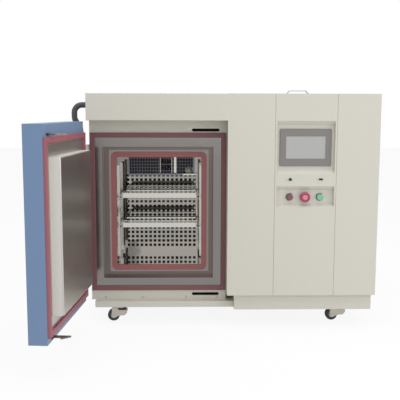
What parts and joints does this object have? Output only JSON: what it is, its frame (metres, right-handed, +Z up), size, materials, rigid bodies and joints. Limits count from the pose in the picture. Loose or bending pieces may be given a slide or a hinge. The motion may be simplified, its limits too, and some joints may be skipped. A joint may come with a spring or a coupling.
{
  "type": "environmental test chamber",
  "caption": "Bench-height environmental test chamber on castors: open plug door with latch and conduit, steel cavity with wire shelves, control column with screen and buttons.",
  "frame": {"origin": "on the floor, under the middle of the outline with the door open", "axes": "+Z up, +Y from the front to the back, +X to the right seen from the front"},
  "size_m": [1.3145, 1.3732, 0.966],
  "materials": {
    "cabinet_paint": "satin powder coat",
    "base_paint": "satin powder coat",
    "fascia_paint": "satin powder coat",
    "door_paint": "satin blue",
    "polished_steel": "mirror polished",
    "bright_steel": "satin",
    "red_silicone": "matt",
    "dark_red_silicone": "matt",
    "pink_silicone": "matt",
    "glass_wool": "matt",
    "dark_steel": "satin",
    "black_rubber": "matt",
    "black_plastic": "matt",
    "bezel_plastic": "satin",
    "display_glass": "polished",
    "lamp_glass": "frosted",
    "red_plastic": "gloss",
    "dark_red_plastic": "gloss",
    "green_plastic": "gloss",
    "chrome_plate": "polished",
    "fin_aluminium": "mill finish",
    "tank_plastic": "translucent"
  },
  "bodies": {
    "cabinet": {"air_baffle": "polished_steel", "air_grille": "dark_steel", "base_tray": "base_paint", "button_bezels": "black_plastic", "cable_port_sleeve": "bright_steel", "castor_plates": "bright_steel", "chamber_fascia": "fascia_paint", "chamber_lamp": "lamp_glass", "chamber_sides": "cabinet_paint", "compressor": "dark_steel", "condenser": "fin_aluminium", "conduit": "black_rubber", "control_base": "base_paint", "control_column": "cabinet_paint", "control_panel_left": "cabinet_paint", "control_panel_right": "cabinet_paint", "data_ports": "black_plastic", "drain_spigot": "bright_steel", "evaporator": "fin_aluminium", "fan_motor": "dark_steel", "header_cover": "cabinet_paint", "heater": "bright_steel", "hinge_brackets": "bright_steel", "hinge_pins": "chrome_plate", "inner_gasket": "red_silicone", "inner_liner": "polished_steel", "insulation": "glass_wool", "machine_cover": "cabinet_paint", "outer_gasket": "dark_red_silicone", "rear_panel": "cabinet_paint", "roof_handle": "chrome_plate", "screen_bezel": "bezel_plastic", "shelf_rails": "bright_steel", "step_frame": "polished_steel", "touch_screen": "display_glass", "water_tank": "tank_plastic"},
    "door": {"door_hinge_leaves": "bright_steel", "door_shell": "door_paint", "door_inner_panel": "polished_steel", "door_gasket": "pink_silicone", "conduit_elbow": "black_plastic"},
    "latch": {"latch_rod": "bright_steel", "door_handle": "chrome_plate"},
    "lower_shelf": {"shelf_lower": "bright_steel"},
    "upper_shelf": {"shelf_upper": "bright_steel"},
    "port_plug": {"cable_port_plug": "black_rubber"},
    "off_key": {"off_button": "dark_red_plastic"},
    "start_key": {"start_button": "green_plastic"},
    "stop_plunger": {"stop_stem": "black_plastic"},
    "stop_mushroom": {"stop_cap": "red_plastic"},
    "circulation_fan": {"fan_wheel": "fin_aluminium"},
    "cooling_fan": {"condenser_fan": "black_plastic"},
    "swivel_front_left": {"castor_fork_front_left": "bright_steel"},
    "wheel_front_left": {"castor_wheel_front_left": "black_rubber"},
    "swivel_front_right": {"castor_fork_front_right": "bright_steel"},
    "wheel_front_right": {"castor_wheel_front_right": "black_rubber"},
    "swivel_rear_left": {"castor_fork_rear_left": "bright_steel"},
    "wheel_rear_left": {"castor_wheel_rear_left": "black_rubber"},
    "swivel_rear_right": {"castor_fork_rear_right": "bright_steel"},
    "wheel_rear_right": {"castor_wheel_rear_right": "black_rubber"}
  },
  "joints": [
    {"name": "door_hinge", "type": "hinge", "parent": "cabinet", "child": "door", "pos_m": [-0.53027, -0.10541, 0.477], "axis": [0, 0, 1], "range_deg": [-25, 95]},
    {"name": "latch_turn", "type": "hinge", "parent": "door", "child": "latch", "pos_m": [-0.58494, -0.61559, 0.47], "axis": [0, 0, 1], "range_deg": [-28, 0]},
    {"name": "lower_shelf_slide", "type": "slide", "parent": "cabinet", "child": "lower_shelf", "axis": [0, 1, 0], "range_m": [-0.2, 0]},
    {"name": "upper_shelf_slide", "type": "slide", "parent": "cabinet", "child": "upper_shelf", "axis": [0, 1, 0], "range_m": [-0.2, 0]},
    {"name": "port_plug_slide", "type": "slide", "parent": "cabinet", "child": "port_plug", "axis": [1, 0, 0], "range_m": [-0.12, 0]},
    {"name": "off_button_press", "type": "slide", "parent": "cabinet", "child": "off_key", "axis": [0, 1, 0], "range_m": [0, 0.003], "stiffness_N_per_m": 300},
    {"name": "start_button_press", "type": "slide", "parent": "cabinet", "child": "start_key", "axis": [0, 1, 0], "range_m": [0, 0.003], "stiffness_N_per_m": 300},
    {"name": "stop_press", "type": "slide", "parent": "cabinet", "child": "stop_plunger", "axis": [0, 1, 0], "range_m": [0, 0.003], "stiffness_N_per_m": 400},
    {"name": "stop_twist", "type": "hinge", "parent": "stop_plunger", "child": "stop_mushroom", "pos_m": [0.36423, -0.15641, 0.541], "axis": [0, 1, 0], "range_deg": [0, 45]},
    {"name": "circulation_fan_spin", "type": "hinge", "parent": "cabinet", "child": "circulation_fan", "pos_m": [-0.22227, 0.25759, 0.627], "axis": [0, 1, 0], "continuous": true},
    {"name": "cooling_fan_spin", "type": "hinge", "parent": "cabinet", "child": "cooling_fan", "pos_m": [0.32123, 0.52459, 0.312], "axis": [0, 1, 0], "continuous": true},
    {"name": "swivel_front_left", "type": "hinge", "parent": "cabinet", "child": "swivel_front_left", "pos_m": [-0.38427, -0.03141, 0.068], "axis": [0, 0, 1], "continuous": true},
    {"name": "roll_front_left", "type": "hinge", "parent": "swivel_front_left", "child": "wheel_front_left", "pos_m": [-0.41627, -0.03141, 0.025], "axis": [0, 1, 0], "continuous": true},
    {"name": "swivel_front_right", "type": "hinge", "parent": "cabinet", "child": "swivel_front_right", "pos_m": [0.53973, -0.03141, 0.068], "axis": [0, 0, 1], "continuous": true},
    {"name": "roll_front_right", "type": "hinge", "parent": "swivel_front_right", "child": "wheel_front_right", "pos_m": [0.50773, -0.03141, 0.025], "axis": [0, 1, 0], "continuous": true},
    {"name": "swivel_rear_left", "type": "hinge", "parent": "cabinet", "child": "swivel_rear_left", "pos_m": [-0.38427, 0.52859, 0.068], "axis": [0, 0, 1], "continuous": true},
    {"name": "roll_rear_left", "type": "hinge", "parent": "swivel_rear_left", "child": "wheel_rear_left", "pos_m": [-0.41627, 0.52859, 0.025], "axis": [0, 1, 0], "continuous": true},
    {"name": "swivel_rear_right", "type": "hinge", "parent": "cabinet", "child": "swivel_rear_right", "pos_m": [0.53973, 0.52859, 0.068], "axis": [0, 0, 1], "continuous": true},
    {"name": "roll_rear_right", "type": "hinge", "parent": "swivel_rear_right", "child": "wheel_rear_right", "pos_m": [0.50773, 0.52859, 0.025], "axis": [0, 1, 0], "continuous": true}
  ]
}
